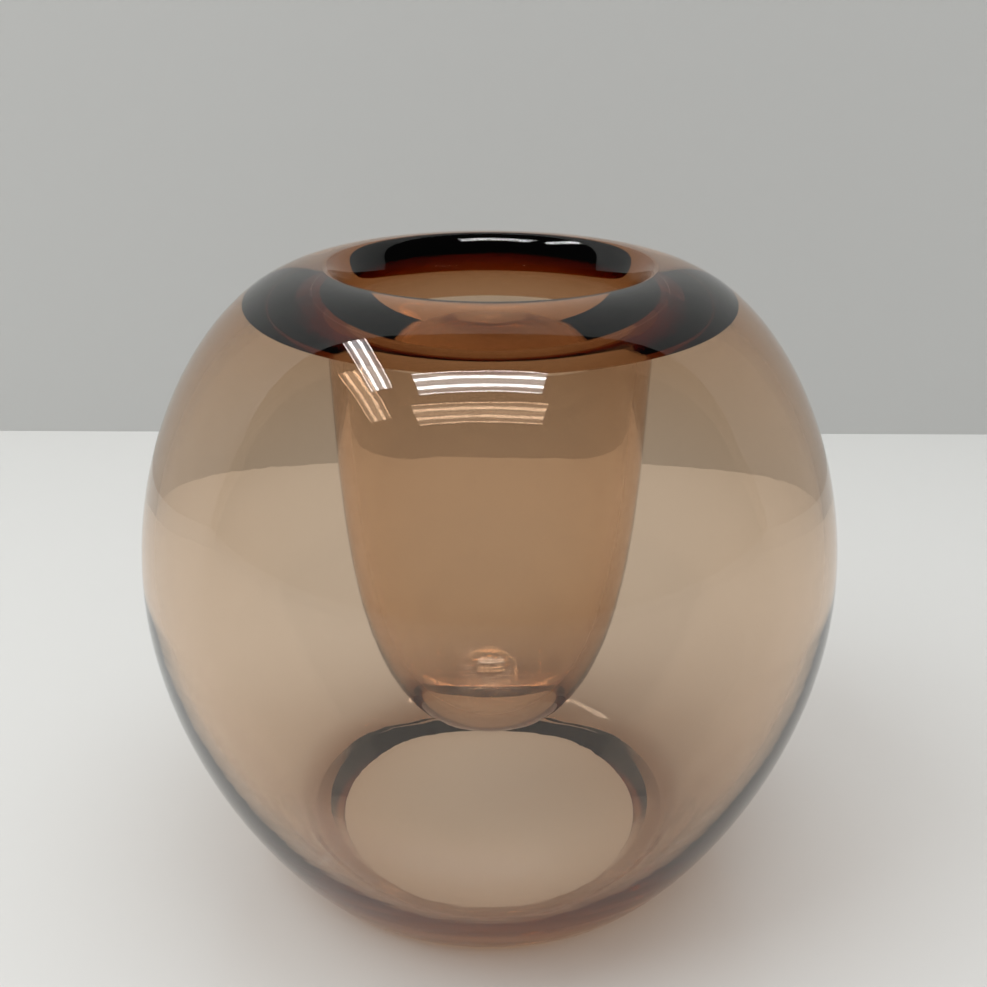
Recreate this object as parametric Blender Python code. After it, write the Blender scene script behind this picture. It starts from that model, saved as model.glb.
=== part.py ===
"""A double-walled glass bud vase, blown in two pieces that are fused at the lip.

An outer globe with a ground, open underside and an inner flower tube. Metres, +Z up.
The origin is the centre of the underside, where the vase stands on the table.
"""

import math

import bmesh
import bpy
from mathutils import Vector
from mathutils.geometry import interpolate_bezier

# Outside of the globe
GLOBE_RADIUS = 0.0750
EQUATOR_HEIGHT = 0.0718
RIM_HEIGHT = 0.1367
CREST_RADIUS = 0.0342        # circle where the rolled lip is highest
FOOT_RADIUS = 0.0451         # outer edge of the ground face on the table
FOOT_SLOPE = math.radians(20.9)

# Glass of the globe
WALL = 0.0030                # at the equator
FOOT_WALL = 0.0050           # near the foot
LIP_GLASS = 0.0070           # towards the lip
LIP_GROWTH = 1.6             # how late the shoulder's glass thickens towards the lip
HOLLOW_RADIUS = 0.0470       # circle where the hollow between globe and tube is highest
CEILING_SLOPE = math.radians(22)     # of the hollow's ceiling, which rises from the tube
OPENING_RADIUS = 0.0366      # opening in the underside
HEEL_RADIUS = 0.0398         # inner edge of the thick heel above the opening
HEEL_HEIGHT = 0.0044
HEEL_SLOPE = math.radians(30)
HEEL_TOP = 0.0090            # the belly's glass starts above this height

# Flower tube
MOUTH_RADIUS = 0.0298        # inside the tube, just below the lip
MOUTH_HEIGHT = 0.1280
TUBE_RADIUS = 0.0329         # outside, at the neck
NECK_HEIGHT = 0.1225         # the tube meets the ceiling of the hollow here
TUBE_BOTTOM = 0.0293         # underside of the tube's round end
TUBE_END_GLASS = 0.0045      # glass at the bottom of the tube

# Foot of the seam where the two pieces are fused, straight under the crest
SEAM_FOOT_HEIGHT = NECK_HEIGHT + (CREST_RADIUS - TUBE_RADIUS) * math.tan(CEILING_SLOPE)

# How far the curves of the outlines pull towards their tangents at each end
BELLY_PULLS = (0.0038, 0.0380)       # foot to equator
SHOULDER_PULLS = (0.0322, 0.0221)    # equator to crest
LIP_PULLS = (0.0010, 0.0060)         # crest into the mouth
HEEL_PULLS = (0.0030, 0.0030)
TUBE_PULLS = (0.0256, 0.0629)        # round end to neck
INNER_TUBE_PULLS = (0.0640, 0.0235)
CEILING_PULLS = (0.0060, 0.0040)     # seam to the top of the hollow

# Meshing
SEAM_GAP = 0.0003            # clearance between globe and tube at the fused crest
SEGMENTS = 48                # round the axis
CURVE_STEPS = 12             # points along each curved stretch of an outline
MERGE_DISTANCE = 1e-6

UP = math.radians(90)
OUTWARD = 0.0
INWARD = math.radians(180)
DOWN = math.radians(270)


def clear_scene():
    for obj in list(bpy.data.objects):
        bpy.data.objects.remove(obj, do_unlink=True)


def make_material(name, colour):
    material = bpy.data.materials.new(name)
    material.use_nodes = True
    shader = material.node_tree.nodes["Principled BSDF"]
    shader.inputs["Base Color"].default_value = (*colour, 1.0)
    shader.inputs["Metallic"].default_value = 0.0
    shader.inputs["Roughness"].default_value = 0.02
    shader.inputs["Transmission Weight"].default_value = 1.0
    shader.inputs["IOR"].default_value = 1.5
    material.diffuse_color = (*colour, 1.0)
    return material


def curve(start, start_angle, end, end_angle, pulls):
    """Points of a cubic curve in the (radius, height) plane, heading start_angle, then end_angle."""
    knot_1 = Vector(start)
    knot_2 = Vector(end)
    handle_1 = knot_1 + pulls[0] * Vector((math.cos(start_angle), math.sin(start_angle)))
    handle_2 = knot_2 - pulls[1] * Vector((math.cos(end_angle), math.sin(end_angle)))
    return list(interpolate_bezier(knot_1, handle_1, handle_2, knot_2, CURVE_STEPS))


def inset(outside, glass_start, glass_end, growth):
    """The inner face of a wall: its outer face moved inward by a glass thickness that grows."""
    points = []
    last = len(outside) - 1
    for i, point in enumerate(outside):
        along = (outside[min(i + 1, last)] - outside[max(i - 1, 0)]).normalized()
        glass = glass_start + (glass_end - glass_start) * (i / last) ** growth
        points.append(point + glass * Vector((-along.y, along.x)))
    return points


def heading(start, end):
    return math.atan2(end.y - start.y, end.x - start.x)


def join(*stretches):
    """One outline from stretches that each start where the last one ended."""
    outline = []
    for stretch in stretches:
        for point in stretch:
            if not outline or (Vector(point) - outline[-1]).length > MERGE_DISTANCE:
                outline.append(Vector(point))
    return outline


def turned_piece(name, outline, material, closed):
    """A solid of revolution about Z. An open outline starts and ends on the axis."""
    mesh = bmesh.new()
    verts = [mesh.verts.new((point.x, 0.0, point.y)) for point in outline]
    edges = [mesh.edges.new(pair) for pair in zip(verts, verts[1:])]
    if closed:
        edges.append(mesh.edges.new((verts[-1], verts[0])))
    bmesh.ops.spin(mesh, geom=verts + edges, cent=(0, 0, 0), axis=(0, 0, 1),
                   angle=math.tau, steps=SEGMENTS, use_merge=True)
    bmesh.ops.remove_doubles(mesh, verts=mesh.verts, dist=MERGE_DISTANCE)
    bmesh.ops.recalc_face_normals(mesh, faces=mesh.faces)
    data = bpy.data.meshes.new(name)
    mesh.to_mesh(data)
    mesh.free()
    data.shade_smooth()
    data.set_sharp_from_angle(angle=math.radians(40))
    data.materials.append(material)
    obj = bpy.data.objects.new(name, data)
    bpy.context.scene.collection.objects.link(obj)
    return obj


def shoulder_faces():
    """Outer face of the globe's shoulder, and its inner face as far as the top of the hollow."""
    outer = curve((GLOBE_RADIUS, EQUATOR_HEIGHT), UP, (CREST_RADIUS, RIM_HEIGHT), INWARD, SHOULDER_PULLS)
    inner = [p for p in inset(outer, WALL, LIP_GLASS, LIP_GROWTH) if p.x > HOLLOW_RADIUS]
    return outer, inner


def globe_shell(glass):
    """Outer globe: ground face on the table, belly, and the outer part of the rolled lip."""
    shoulder, inner_shoulder = shoulder_faces()
    crest = (CREST_RADIUS + SEAM_GAP / 2, RIM_HEIGHT)
    seam_foot = (CREST_RADIUS + SEAM_GAP / 2, SEAM_FOOT_HEIGHT)
    ceiling = curve(seam_foot, CEILING_SLOPE, inner_shoulder[-1], OUTWARD, CEILING_PULLS)
    belly = curve((FOOT_RADIUS, 0.0), FOOT_SLOPE, (GLOBE_RADIUS, EQUATOR_HEIGHT), UP, BELLY_PULLS)
    inner_belly = [p for p in inset(belly, FOOT_WALL, WALL, 1.0) if p.y > HEEL_TOP]
    heel_end_slope = heading(inner_belly[0], inner_belly[1])
    heel = curve((HEEL_RADIUS, HEEL_HEIGHT), HEEL_SLOPE, inner_belly[0], heel_end_slope, HEEL_PULLS)
    inside = join(
        [(OPENING_RADIUS, 0.0)],
        heel,
        inner_belly[:-1],
        [(GLOBE_RADIUS - WALL, EQUATOR_HEIGHT)],
        inner_shoulder[1:],
        reversed(ceiling),
    )
    outline = join(belly, shoulder[:-1], [crest], reversed(inside))
    return turned_piece("globe_shell", outline, glass, closed=True)


def flower_tube(glass):
    """Inner tube with a round end, and the inner part of the rolled lip round its mouth."""
    crest = (CREST_RADIUS - SEAM_GAP / 2, RIM_HEIGHT)
    seam_foot = (CREST_RADIUS - SEAM_GAP / 2, SEAM_FOOT_HEIGHT)
    neck_outside = (TUBE_RADIUS, NECK_HEIGHT)
    neck_inside = (MOUTH_RADIUS, MOUTH_HEIGHT)
    end_inside = (0.0, TUBE_BOTTOM + TUBE_END_GLASS)
    outside = join(curve((0.0, TUBE_BOTTOM), OUTWARD, neck_outside, UP, TUBE_PULLS), [seam_foot])
    inside = join(
        curve(crest, INWARD, neck_inside, DOWN, LIP_PULLS),
        curve(neck_inside, DOWN, end_inside, INWARD, INNER_TUBE_PULLS),
    )
    return turned_piece("flower_tube", join(outside, inside), glass, closed=False)


def build():
    clear_scene()
    glass = make_material("tea_brown_glass", (0.46, 0.27, 0.17))
    globe_shell(glass)
    flower_tube(glass)


build()
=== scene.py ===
import math

import bmesh
import bpy
from mathutils import Euler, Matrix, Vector
from mathutils.geometry import interpolate_bezier


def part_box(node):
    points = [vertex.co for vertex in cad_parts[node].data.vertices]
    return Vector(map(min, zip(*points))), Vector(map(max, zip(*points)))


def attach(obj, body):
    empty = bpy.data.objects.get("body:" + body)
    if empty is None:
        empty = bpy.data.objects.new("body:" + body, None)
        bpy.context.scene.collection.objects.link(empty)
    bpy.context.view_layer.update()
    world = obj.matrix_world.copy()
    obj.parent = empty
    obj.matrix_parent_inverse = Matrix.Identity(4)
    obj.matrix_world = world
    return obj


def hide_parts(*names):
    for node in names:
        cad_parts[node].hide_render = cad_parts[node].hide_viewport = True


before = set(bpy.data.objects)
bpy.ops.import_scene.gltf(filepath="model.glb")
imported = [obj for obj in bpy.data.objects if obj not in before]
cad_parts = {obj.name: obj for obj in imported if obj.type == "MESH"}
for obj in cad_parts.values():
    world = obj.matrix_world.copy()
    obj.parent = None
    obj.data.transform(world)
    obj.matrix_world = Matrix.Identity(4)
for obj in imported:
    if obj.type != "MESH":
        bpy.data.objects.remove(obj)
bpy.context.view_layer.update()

# ---------------------------------------------------------------- sizes, in metres
# Taken from the frame
GLOBE_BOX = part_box("globe_shell")
TUBE_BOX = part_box("flower_tube")
GLOBE_RADIUS = GLOBE_BOX[1].x
RIM_HEIGHT = GLOBE_BOX[1].z
TUBE_BOTTOM = TUBE_BOX[0].z

# Outside of the globe
EQUATOR_HEIGHT = 0.0718
CREST_RADIUS = 0.0342        # circle where the rolled lip is highest
FOOT_RADIUS = 0.0451         # outer edge of the ground face on the table
FOOT_SLOPE = math.radians(20.9)

# Glass of the globe
WALL = 0.0030                # at the equator
FOOT_WALL = 0.0050           # near the foot
LIP_GLASS = 0.0070           # towards the lip
LIP_GROWTH = 1.6             # how late the shoulder's glass thickens towards the lip
HOLLOW_RADIUS = 0.0470       # circle where the hollow between globe and tube is highest
CEILING_SLOPE = math.radians(22)     # of the hollow's ceiling, which rises from the tube
OPENING_RADIUS = 0.0366      # opening in the underside
HEEL_RADIUS = 0.0398         # inner edge of the thick heel above the opening
HEEL_HEIGHT = 0.0044
HEEL_SLOPE = math.radians(30)
HEEL_TOP = 0.0090            # the belly's glass starts above this height

# Flower tube
MOUTH_RADIUS = 0.0298        # inside the tube, just below the lip
MOUTH_HEIGHT = 0.1280
TUBE_RADIUS = 0.0329         # outside, at the neck
NECK_HEIGHT = 0.1225         # the tube meets the ceiling of the hollow here
TUBE_END_GLASS = 0.0045      # glass at the bottom of the tube

# Foot of the seam where the two pieces are fused, straight under the crest
SEAM_FOOT_HEIGHT = NECK_HEIGHT + (CREST_RADIUS - TUBE_RADIUS) * math.tan(CEILING_SLOPE)

# How far the curves of the outlines pull towards their tangents at each end
BELLY_PULLS = (0.0038, 0.0380)       # foot to equator
SHOULDER_PULLS = (0.0322, 0.0221)    # equator to crest
LIP_PULLS = (0.0010, 0.0060)         # crest into the mouth
HEEL_PULLS = (0.0030, 0.0030)
TUBE_PULLS = (0.0256, 0.0629)        # round end to neck
INNER_TUBE_PULLS = (0.0640, 0.0235)
CEILING_PULLS = (0.0060, 0.0040)     # seam to the top of the hollow

# Meshing
FUSED_GAP = 0.00002          # between the faces where the two pieces are fused
SEGMENTS = 192               # round the axis
CURVE_STEPS = 64             # points along each curved stretch of an outline
MERGE_DISTANCE = 1e-7
SHARP_ANGLE = math.radians(20)

UP = math.radians(90)
OUTWARD = 0.0
INWARD = math.radians(180)
DOWN = math.radians(270)

# Finish of a stretch of an outline
POLISHED = 0
FUSED = 1
GROUND = 2

# Glass
GLASS_IOR = 1.5
TINT = (38.0, 74.0, 114.0)   # loss of red, green and blue light per metre of glass
SHADE = (0.82, 0.82, 0.82, 1.0)    # share of lamp light that one surface lets through
WAVE_DEPTH = 0.00002         # slow waves in the blown surface
PULL_DEPTH = 0.000004        # fine lines round the axis
GRAIN_DEPTH = 0.000004       # of the ground face
GROUND_ROUGHNESS = (0.05, 0.15)


# ---------------------------------------------------------------- outlines
def curve(start, start_angle, end, end_angle, pulls):
    """Points of a cubic curve in the (radius, height) plane, heading start_angle, then end_angle."""
    knot_1 = Vector(start)
    knot_2 = Vector(end)
    handle_1 = knot_1 + pulls[0] * Vector((math.cos(start_angle), math.sin(start_angle)))
    handle_2 = knot_2 - pulls[1] * Vector((math.cos(end_angle), math.sin(end_angle)))
    return list(interpolate_bezier(knot_1, handle_1, handle_2, knot_2, CURVE_STEPS))


def inset(outside, glass_start, glass_end, growth):
    """The inner face of a wall: its outer face moved inward by a glass thickness that grows."""
    points = []
    last = len(outside) - 1
    for i, point in enumerate(outside):
        along = (outside[min(i + 1, last)] - outside[max(i - 1, 0)]).normalized()
        glass = glass_start + (glass_end - glass_start) * (i / last) ** growth
        points.append(point + glass * Vector((-along.y, along.x)))
    return points


def heading(start, end):
    return math.atan2(end.y - start.y, end.x - start.x)


def join(stretches):
    """One outline, and the finish of each of its steps, from (points, finish) stretches that follow on."""
    outline = []
    finishes = []
    for points, finish in stretches:
        for point in map(Vector, points):
            if not outline:
                outline.append(point)
            elif (point - outline[-1]).length > MERGE_DISTANCE:
                outline.append(point)
                finishes.append(finish)
    return outline, finishes


# ---------------------------------------------------------------- turned pieces
def ring_of_verts(mesh, point):
    if point.x < MERGE_DISTANCE:
        return [mesh.verts.new((0.0, 0.0, point.y))]
    angles = (math.tau * i / SEGMENTS for i in range(SEGMENTS))
    return [mesh.verts.new((point.x * math.cos(a), point.x * math.sin(a), point.y)) for a in angles]


def turned_piece(name, stretches, material):
    """A solid of revolution about Z, from stretches of outline that end where they began or on Z."""
    outline, finishes = join(stretches)
    closed = (outline[0] - outline[-1]).length < MERGE_DISTANCE
    if closed:
        outline.pop()
    mesh = bmesh.new()
    is_fused = mesh.faces.layers.float.new("fused")
    is_ground = mesh.faces.layers.float.new("ground")
    rings = [ring_of_verts(mesh, point) for point in outline]
    pairs = list(zip(rings, rings[1:]))
    if closed:
        pairs.append((rings[-1], rings[0]))
    for (low, high), finish in zip(pairs, finishes):
        for i in range(SEGMENTS):
            j = (i + 1) % SEGMENTS
            corners = (low[i % len(low)], low[j % len(low)], high[j % len(high)], high[i % len(high)])
            face = mesh.faces.new(list(dict.fromkeys(corners)))    # a triangle at the axis
            face[is_fused] = float(finish == FUSED)
            face[is_ground] = float(finish == GROUND)
            face.smooth = True
    bmesh.ops.recalc_face_normals(mesh, faces=mesh.faces)
    data = bpy.data.meshes.new(name)
    mesh.to_mesh(data)
    mesh.free()
    data.set_sharp_from_angle(angle=SHARP_ANGLE)
    data.materials.append(material)
    piece = bpy.data.objects.new(name, data)
    bpy.context.scene.collection.objects.link(piece)
    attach(piece, "root")
    return piece


# ---------------------------------------------------------------- glass
def node(tree, kind, **values):
    made = tree.nodes.new(kind)
    for key, value in values.items():
        if key in made.inputs:
            made.inputs[key].default_value = value
        else:
            setattr(made, key, value)
    return made


def empty_material(name):
    material = bpy.data.materials.new(name)
    material.use_nodes = True
    material.node_tree.nodes.clear()
    return material, material.node_tree


def noise(tree, stretch, scale, detail=2.0):
    """Noise placed in metres, with stretch as how much finer it is along each axis."""
    place = node(tree, "ShaderNodeNewGeometry")
    mapping = node(tree, "ShaderNodeMapping", Scale=stretch)
    made = node(tree, "ShaderNodeTexNoise", Scale=scale, Detail=detail, Roughness=0.5)
    tree.links.new(place.outputs["Position"], mapping.inputs["Vector"])
    tree.links.new(mapping.outputs["Vector"], made.inputs["Vector"])
    return made


def ranged(tree, source, low, high):
    """source, a factor from 0 to 1, as a value from low to high."""
    made = node(tree, "ShaderNodeMapRange")
    made.inputs["To Min"].default_value = low
    made.inputs["To Max"].default_value = high
    tree.links.new(source, made.inputs["Value"])
    return made.outputs["Result"]


def bump(tree, height, depth, normal=None):
    made = node(tree, "ShaderNodeBump", Strength=1.0, Distance=depth)
    tree.links.new(height, made.inputs["Height"])
    if normal is not None:
        tree.links.new(normal, made.inputs["Normal"])
    return made.outputs["Normal"]


def add_tint(tree, out):
    """Glass darkens with its thickness, as the volume takes up each colour at its own rate."""
    densest = max(TINT)
    volume = node(tree, "ShaderNodeVolumeAbsorption", Density=densest)
    volume.inputs["Color"].default_value = (*(1 - loss / densest for loss in TINT), 1)
    tree.links.new(volume.outputs["Volume"], out.inputs["Volume"])


def add_glass(tree):
    return node(tree, "ShaderNodeBsdfGlass", Roughness=0.0, IOR=GLASS_IOR)


def blend(tree, factor, first, second):
    """The first shader where factor is 0, the second where it is 1."""
    mix = node(tree, "ShaderNodeMixShader")
    tree.links.new(factor, mix.inputs[0])
    tree.links.new(first.outputs[0], mix.inputs[1])
    tree.links.new(second.outputs[0], mix.inputs[2])
    return mix


def face_value(tree, name):
    return node(tree, "ShaderNodeAttribute", attribute_name=name).outputs["Fac"]


def straight_rays(tree):
    """1 for the rays that light the table, which pass through the glass without bending."""
    path = node(tree, "ShaderNodeLightPath")
    either = node(tree, "ShaderNodeMath", operation="MAXIMUM")
    tree.links.new(path.outputs["Is Shadow Ray"], either.inputs[0])
    tree.links.new(path.outputs["Is Diffuse Ray"], either.inputs[1])
    return either.outputs[0]


def shape_surface(tree, glass):
    """Slow waves, and a faint pull round the axis, left by the blowing."""
    waves = noise(tree, stretch=(1.0, 1.0, 1.6), scale=45.0)
    pull = noise(tree, stretch=(1.0, 1.0, 9.0), scale=60.0)
    slow = bump(tree, waves.outputs[0], WAVE_DEPTH)
    fine = bump(tree, pull.outputs[0], PULL_DEPTH, slow)
    tree.links.new(fine, glass.inputs["Normal"])


def grind_surface(tree, glass):
    """The fine grain of the ground face."""
    grain = noise(tree, stretch=(1.0, 1.0, 1.0), scale=2500.0, detail=4.0)
    tree.links.new(ranged(tree, grain.outputs[0], *GROUND_ROUGHNESS), glass.inputs["Roughness"])
    tree.links.new(bump(tree, grain.outputs[0], GRAIN_DEPTH), glass.inputs["Normal"])


def tea_glass():
    """Hand-blown glass: fire-polished, but matt where it is ground and clear where it is fused.

    It is one material, because a ray that enters tinted glass through one material and leaves
    through another would stay tinted.
    """
    material, tree = empty_material("tea_glass")
    out = node(tree, "ShaderNodeOutputMaterial")
    add_tint(tree, out)
    polished = add_glass(tree)
    ground = add_glass(tree)
    fused = node(tree, "ShaderNodeBsdfTransparent")
    shape_surface(tree, polished)
    grind_surface(tree, ground)
    by_finish = blend(tree, face_value(tree, "ground"), polished, ground)
    solid = blend(tree, face_value(tree, "fused"), by_finish, fused)
    lamp_light = node(tree, "ShaderNodeBsdfTransparent", Color=SHADE)
    surface = blend(tree, straight_rays(tree), solid, lamp_light)
    tree.links.new(surface.outputs[0], out.inputs["Surface"])
    return material


# ---------------------------------------------------------------- the two pieces of the vase
def shoulder_faces():
    """Outer face of the globe's shoulder, and its inner face as far as the top of the hollow."""
    outer = curve((GLOBE_RADIUS, EQUATOR_HEIGHT), UP, (CREST_RADIUS, RIM_HEIGHT), INWARD, SHOULDER_PULLS)
    inner = [p for p in inset(outer, WALL, LIP_GLASS, LIP_GROWTH) if p.x > HOLLOW_RADIUS]
    return outer, inner


def globe(material):
    """Outer globe: ground face on the table, belly, and the outer part of the rolled lip."""
    shoulder, inner_shoulder = shoulder_faces()
    foot = (FOOT_RADIUS, 0.0)
    equator = (GLOBE_RADIUS, EQUATOR_HEIGHT)
    crest = (CREST_RADIUS + FUSED_GAP, RIM_HEIGHT)
    seam_foot = (CREST_RADIUS + FUSED_GAP, SEAM_FOOT_HEIGHT)
    ceiling = curve(seam_foot, CEILING_SLOPE, inner_shoulder[-1], OUTWARD, CEILING_PULLS)
    opening = (OPENING_RADIUS, 0.0)
    heel_edge = (HEEL_RADIUS, HEEL_HEIGHT)
    belly = curve(foot, FOOT_SLOPE, equator, UP, BELLY_PULLS)
    inner_equator = [(GLOBE_RADIUS - WALL, EQUATOR_HEIGHT)]
    inner_belly = [p for p in inset(belly, FOOT_WALL, WALL, 1.0) if p.y > HEEL_TOP][:-1]
    heel_slope = heading(inner_belly[0], inner_belly[1])
    heel = curve(heel_edge, HEEL_SLOPE, inner_belly[0], heel_slope, HEEL_PULLS)
    inside = [opening, *heel, *inner_belly, *inner_equator, *inner_shoulder[1:], *reversed(ceiling)]
    return turned_piece("globe_glass", [
        (belly, POLISHED),
        ([*shoulder[:-1], crest], POLISHED),
        ([crest, seam_foot], FUSED),
        (reversed(inside), POLISHED),
        ([opening, foot], GROUND),
    ], material)


def tube(material):
    """Inner tube with a round end, and the inner part of the rolled lip round its mouth."""
    crest = (CREST_RADIUS, RIM_HEIGHT)
    seam_foot = (CREST_RADIUS, SEAM_FOOT_HEIGHT)
    end_outside = (0.0, TUBE_BOTTOM)
    end_inside = (0.0, TUBE_BOTTOM + TUBE_END_GLASS)
    neck_outside = (TUBE_RADIUS, NECK_HEIGHT)
    neck_inside = (MOUTH_RADIUS, MOUTH_HEIGHT)
    return turned_piece("tube_glass", [
        (curve(end_outside, OUTWARD, neck_outside, UP, TUBE_PULLS), POLISHED),
        ([neck_outside, seam_foot], POLISHED),
        ([seam_foot, crest], FUSED),
        (curve(crest, INWARD, neck_inside, DOWN, LIP_PULLS), POLISHED),
        (curve(neck_inside, DOWN, end_inside, INWARD, INNER_TUBE_PULLS), POLISHED),
    ], material)


def build_vase():
    glass = tea_glass()
    for piece, cad_node in ((globe(glass), "globe_shell"), (tube(glass), "flower_tube")):
        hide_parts(cad_node)


# ---------------------------------------------------------------- stage
BACKDROP_Y = 0.284           # the backdrop stands this far behind the vase
BACKDROP_HEIGHT = 1.0
STAGE_HALF_WIDTH = 3.0
FLOOR_Z = -0.0001            # a hair below the vase, so that the ground face stays in air


def principled(name, colour, roughness, specular):
    material = bpy.data.materials.new(name)
    material.use_nodes = True
    shader = material.node_tree.nodes["Principled BSDF"]
    shader.inputs["Base Color"].default_value = (*colour, 1)
    shader.inputs["Roughness"].default_value = roughness
    shader.inputs["Specular IOR Level"].default_value = specular
    return material


def make_one_sided(material):
    """Lets the back of a surface be looked through."""
    tree = material.node_tree
    out = tree.nodes["Material Output"]
    geometry = node(tree, "ShaderNodeNewGeometry")
    clear = node(tree, "ShaderNodeBsdfTransparent")
    mix = node(tree, "ShaderNodeMixShader")
    tree.links.new(geometry.outputs["Backfacing"], mix.inputs[0])
    tree.links.new(tree.nodes["Principled BSDF"].outputs[0], mix.inputs[1])
    tree.links.new(clear.outputs[0], mix.inputs[2])
    tree.links.new(mix.outputs[0], out.inputs["Surface"])


def sheet(name, corners, material):
    data = bpy.data.meshes.new(name)
    data.from_pydata(corners, [], [(0, 1, 2, 3)])
    data.materials.append(material)
    made = bpy.data.objects.new(name, data)
    bpy.context.scene.collection.objects.link(made)
    return made


def build_stage():
    side = STAGE_HALF_WIDTH
    pale = principled("table_top", (0.81, 0.815, 0.80), roughness=0.2, specular=0.5)
    grey = principled("backdrop_grey", (0.565, 0.57, 0.56), roughness=0.9, specular=0.1)
    make_one_sided(grey)
    floor = ((-side, -side), (side, -side), (side, side), (-side, side))
    backdrop = ((-side, FLOOR_Z), (side, FLOOR_Z), (side, BACKDROP_HEIGHT), (-side, BACKDROP_HEIGHT))
    sheet("floor", [(x, y, FLOOR_Z) for x, y in floor], pale)
    sheet("backdrop", [(x, BACKDROP_Y, z) for x, z in backdrop], grey)


# ---------------------------------------------------------------- light
def soft_light(name, place, target, size, power, colour):
    """An area light that lights the scene but isn't seen in the glass."""
    light = bpy.data.lights.new(name, "AREA")
    light.shape = "RECTANGLE"
    light.size = size
    light.size_y = size
    light.energy = power
    light.color = colour
    made = bpy.data.objects.new(name, light)
    made.location = place
    made.rotation_euler = (Vector(target) - Vector(place)).to_track_quat("-Z", "Y").to_euler()
    made.visible_glossy = False
    made.visible_transmission = False
    bpy.context.scene.collection.objects.link(made)


LAMP_HEIGHT = 2.2
LAMP_LENGTH = 1.32
LAMP_STRENGTH = 30.0

ROOM_LIGHT = 0.6
ROOM_SEEN = 0.03

# Glow across a lamp, as (place from its middle line to its edge, share of LAMP_STRENGTH)
LAMP_MIDDLE = (0.0, 0.2)
LAMP_PROFILE = (
    (0.22, 0.2),
    (0.32, 1.0),             # a tube
    (0.46, 1.0),
    (0.56, 0.2),             # the reflector
    (0.88, 0.12),
    (0.95, 0.6),             # the rim
)
LAMP_EDGE = (1.0, 0.6)


def lamp_glow(width):
    """A ceiling lamp's face: two bright tubes on a pale reflector with a thin bright rim."""
    material, tree = empty_material("lamp_glow")
    out = node(tree, "ShaderNodeOutputMaterial")
    glow = node(tree, "ShaderNodeEmission")
    place = node(tree, "ShaderNodeTexCoord")
    split = node(tree, "ShaderNodeSeparateXYZ")
    across = node(tree, "ShaderNodeMath", operation="ABSOLUTE")
    tree.links.new(place.outputs["Object"], split.inputs[0])
    tree.links.new(split.outputs["Y"], across.inputs[0])
    profile = node(tree, "ShaderNodeFloatCurve")
    scaled = node(tree, "ShaderNodeMath", operation="DIVIDE")
    scaled.inputs[1].default_value = width / 2
    tree.links.new(across.outputs[0], scaled.inputs[0])
    tree.links.new(scaled.outputs[0], profile.inputs["Value"])
    points = profile.mapping.curves[0].points
    points[0].location = LAMP_MIDDLE
    points[1].location = LAMP_EDGE
    for position, level in LAMP_PROFILE:
        points.new(position, level)
    profile.mapping.update()
    power = node(tree, "ShaderNodeMath", operation="MULTIPLY")
    power.inputs[1].default_value = LAMP_STRENGTH
    tree.links.new(profile.outputs[0], power.inputs[0])
    tree.links.new(power.outputs[0], glow.inputs["Strength"])
    tree.links.new(glow.outputs[0], out.inputs["Surface"])
    return material


def lamp(name, centre, width, turn):
    """A ceiling lamp that shows in the glass as a highlight and lights nothing else."""
    x = LAMP_LENGTH / 2
    y = width / 2
    made = sheet(name, [(-x, -y, 0), (-x, y, 0), (x, y, 0), (x, -y, 0)], lamp_glow(width))
    made.location = (*centre, LAMP_HEIGHT)
    made.rotation_euler = (0, 0, turn)
    made.visible_camera = False
    made.visible_diffuse = False
    made.visible_shadow = False


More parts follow.
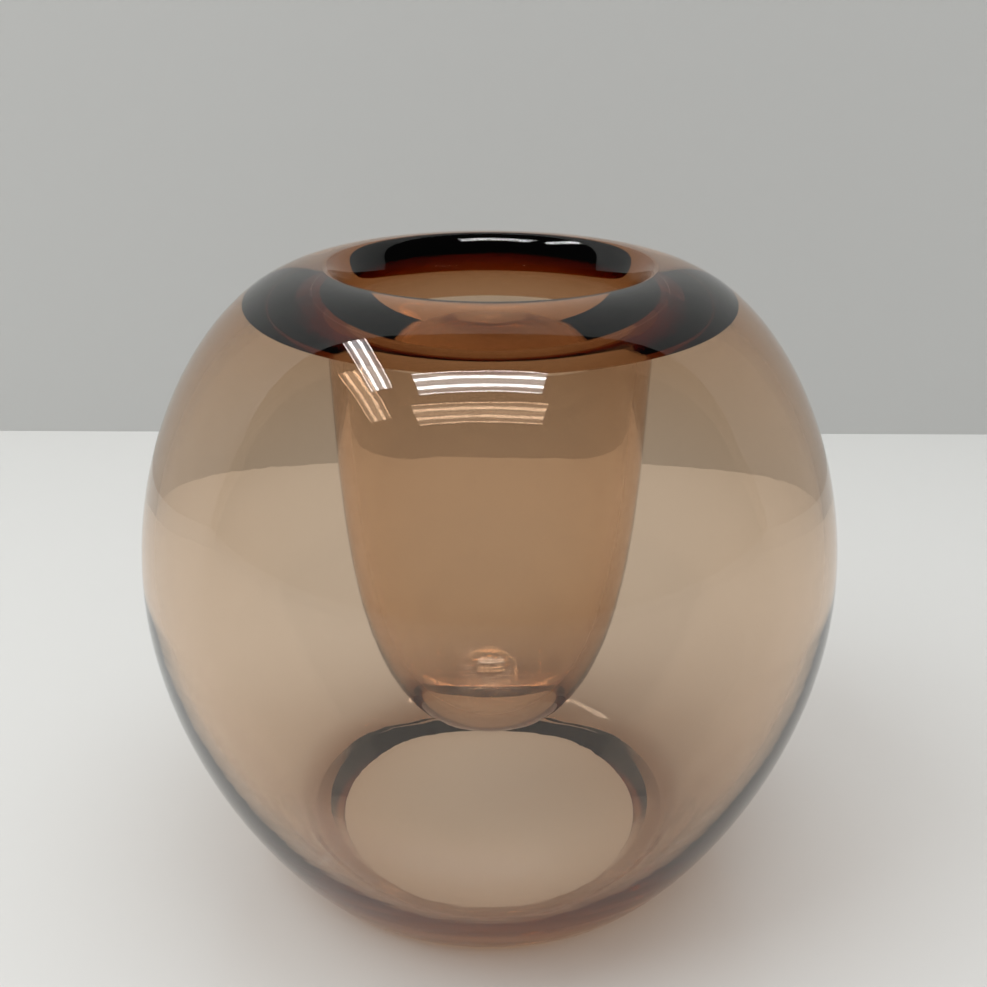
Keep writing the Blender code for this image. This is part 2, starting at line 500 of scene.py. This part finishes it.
def build_world():
    """The room lights the table evenly, but shows dark in the glass."""
    made = bpy.data.worlds.new("room")
    bpy.context.scene.world = made
    made.use_nodes = True
    tree = made.node_tree
    tree.nodes.clear()
    out = node(tree, "ShaderNodeOutputWorld")
    path = node(tree, "ShaderNodeLightPath")
    bright = node(tree, "ShaderNodeBackground", Color=(1, 1, 1, 1), Strength=ROOM_LIGHT)
    dark = node(tree, "ShaderNodeBackground", Color=(1, 1, 1, 1), Strength=ROOM_SEEN)
    mix = node(tree, "ShaderNodeMixShader")
    tree.links.new(path.outputs["Is Diffuse Ray"], mix.inputs[0])
    tree.links.new(dark.outputs[0], mix.inputs[1])
    tree.links.new(bright.outputs[0], mix.inputs[2])
    tree.links.new(mix.outputs[0], out.inputs["Surface"])


def build_lights():
    build_world()
    soft_light("soft_left", place=(-1.2, -0.4, 1.6), target=(0, 0, 0.05),
               size=1.4, power=16.0, colour=(1.0, 0.99, 0.97))
    soft_light("soft_top", place=(0.3, 0.2, 2.0), target=(0, 0, 0),
               size=1.6, power=12.0, colour=(1.0, 1.0, 1.0))
    lamp("cross_lamp", centre=(-0.11, -0.55), width=0.44, turn=0.0)
    lamp("side_lamp", centre=(-1.2, 0.12), width=0.30, turn=math.radians(90))


# ---------------------------------------------------------------- camera
CAMERA_PLACE = (0.0008, -0.2503, 0.1881)
CAMERA_PITCH = math.radians(22.23)
CAMERA_ROLL = math.radians(0.21)
CAMERA_LENS = 44.9           # mm
SENSOR_WIDTH = 36.0          # mm


def build_camera():
    data = bpy.data.cameras.new("camera")
    data.sensor_width = SENSOR_WIDTH
    data.lens = CAMERA_LENS
    data.clip_start = 0.01
    camera = bpy.data.objects.new("camera", data)
    camera.location = CAMERA_PLACE
    aim = Euler((math.radians(90) - CAMERA_PITCH, 0, 0)).to_matrix()
    roll = Euler((0, 0, CAMERA_ROLL)).to_matrix()
    camera.rotation_euler = (aim @ roll).to_euler()
    bpy.context.scene.collection.objects.link(camera)
    bpy.context.scene.camera = camera


def set_light_paths():
    """Two walls of thick glass need many bends and inner reflections."""
    scene = bpy.context.scene
    scene.cycles.max_bounces = 32
    scene.cycles.transmission_bounces = 32
    scene.cycles.glossy_bounces = 16
    scene.cycles.transparent_max_bounces = 64
    scene.cycles.diffuse_bounces = 4
    scene.cycles.caustics_reflective = False
    scene.cycles.caustics_refractive = False
    scene.cycles.use_denoising = True
    scene.view_settings.view_transform = "Standard"


build_vase()
build_stage()
build_lights()
build_camera()
set_light_paths()
